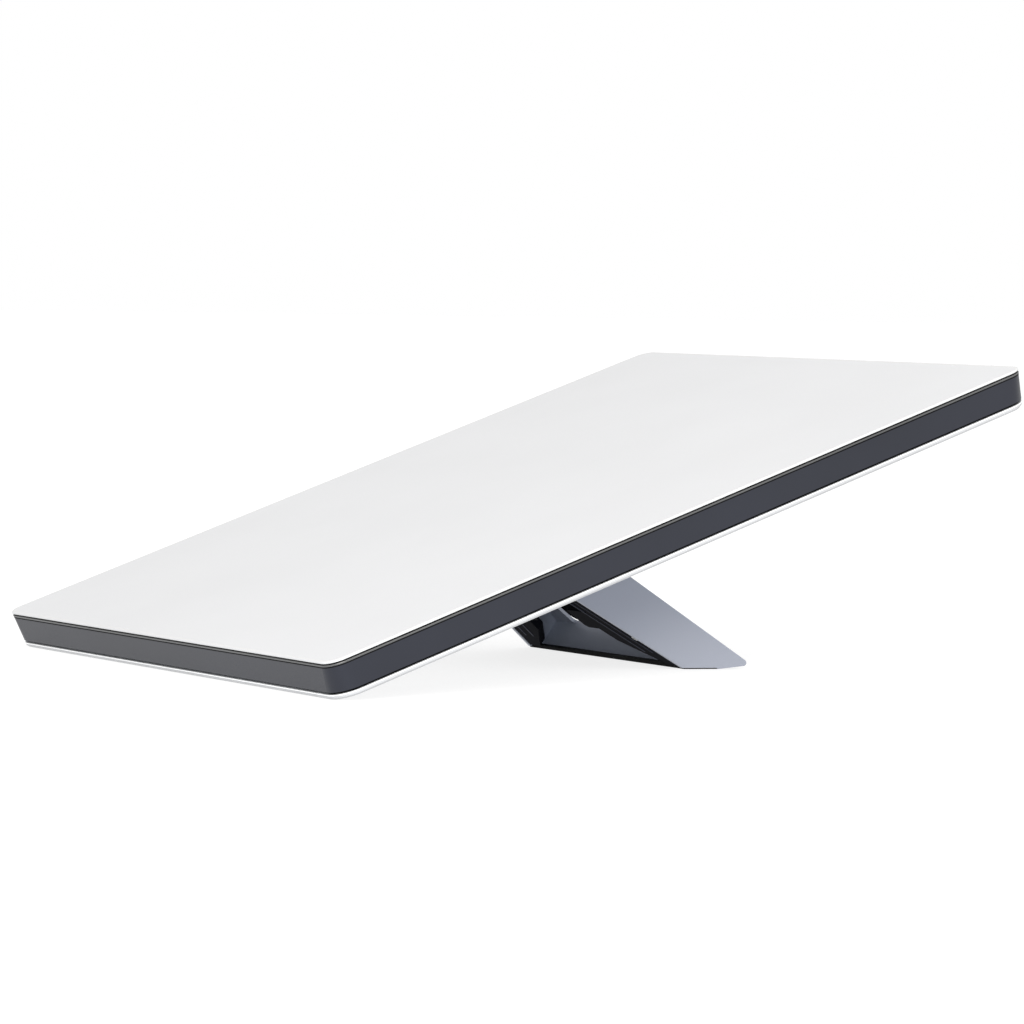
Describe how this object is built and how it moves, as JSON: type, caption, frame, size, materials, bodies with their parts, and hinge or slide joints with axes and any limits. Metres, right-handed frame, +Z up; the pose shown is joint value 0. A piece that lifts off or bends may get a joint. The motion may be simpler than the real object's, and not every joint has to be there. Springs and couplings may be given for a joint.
{
  "type": "flat panel antenna with kickstand",
  "caption": "Flat rectangular panel antenna that leans on its low edge and on a hollow folding kickstand, with a rear cable port and quick-release hinge pins.",
  "frame": {"origin": "on the ground under the middle of the object's length and width, panel leaning at rest", "axes": "+X across the panel, +Y level from the low edge to the high edge, +Z up"},
  "size_m": [0.511, 0.568, 0.2224],
  "materials": {
    "radome": "smooth satin white",
    "white_cover": "smooth white",
    "frame_paint": "satin dark grey",
    "seal_rubber": "matt black",
    "foam": "closed-cell foam",
    "film": "amber film",
    "copper": "plated",
    "board": "green solder mask",
    "chip": "moulded black",
    "thermal_pad": "soft blue-grey",
    "tin": "stamped tin plate",
    "spreader_metal": "bare",
    "screw_steel": "plain",
    "housing_plastic": "satin white",
    "black_plastic": "fine moulded texture",
    "stand_metal": "satin grey-blue",
    "pin_steel": "ground",
    "spring_steel": "drawn wire",
    "bush_plastic": "self-lubricating"
  },
  "bodies": {
    "panel": {"radome_cover": "radome", "radome_seal": "seal_rubber", "side_frame": "frame_paint", "radome_core": "foam", "patch_film": "film", "antenna_patches": "copper", "patch_spacer": "foam", "main_board": "board", "beamformer_chips": "chip", "thermal_pads": "thermal_pad", "shield_can": "tin", "gps_module": "bush_plastic", "heat_spreader": "spreader_metal", "back_gasket": "seal_rubber", "back_cover": "white_cover", "cover_screws": "screw_steel", "vent_plug": "black_plastic", "rear_housing": "housing_plastic", "housing_gasket": "seal_rubber", "housing_screws": "screw_steel", "power_module": "board", "port_socket": "black_plastic", "port_contacts": "copper", "port_seal": "seal_rubber", "mount_hub": "black_plastic", "hub_gasket": "seal_rubber", "hub_screws": "screw_steel", "right_pin_spring": "spring_steel", "left_pin_spring": "spring_steel"},
    "right_pin": {"right_hinge_pin": "pin_steel", "right_thumb_tab": "black_plastic"},
    "left_pin": {"left_hinge_pin": "pin_steel", "left_thumb_tab": "black_plastic"},
    "kickstand": {"stand_shell": "stand_metal", "stand_liner": "black_plastic", "right_rail": "black_plastic", "left_rail": "black_plastic", "rail_screws": "screw_steel", "foot_pad": "seal_rubber", "hinge_bushes": "bush_plastic", "wave_washers": "spring_steel"}
  },
  "joints": [
    {"name": "kickstand_fold", "type": "hinge", "parent": "panel", "child": "kickstand", "pos_m": [0, -0.00877, 0.0796], "axis": [1, 0, 0], "range_deg": [-125.9, 0]},
    {"name": "right_pin_press", "type": "slide", "parent": "panel", "child": "right_pin", "axis": [-1, 0, 0], "range_m": [0, 0.0088], "stiffness_N_per_m": 450, "springref_m": -0.005, "deforming": ["right_pin_spring"]},
    {"name": "left_pin_press", "type": "slide", "parent": "panel", "child": "left_pin", "axis": [1, 0, 0], "range_m": [0, 0.0088], "stiffness_N_per_m": 450, "springref_m": -0.005, "deforming": ["left_pin_spring"]}
  ]
}
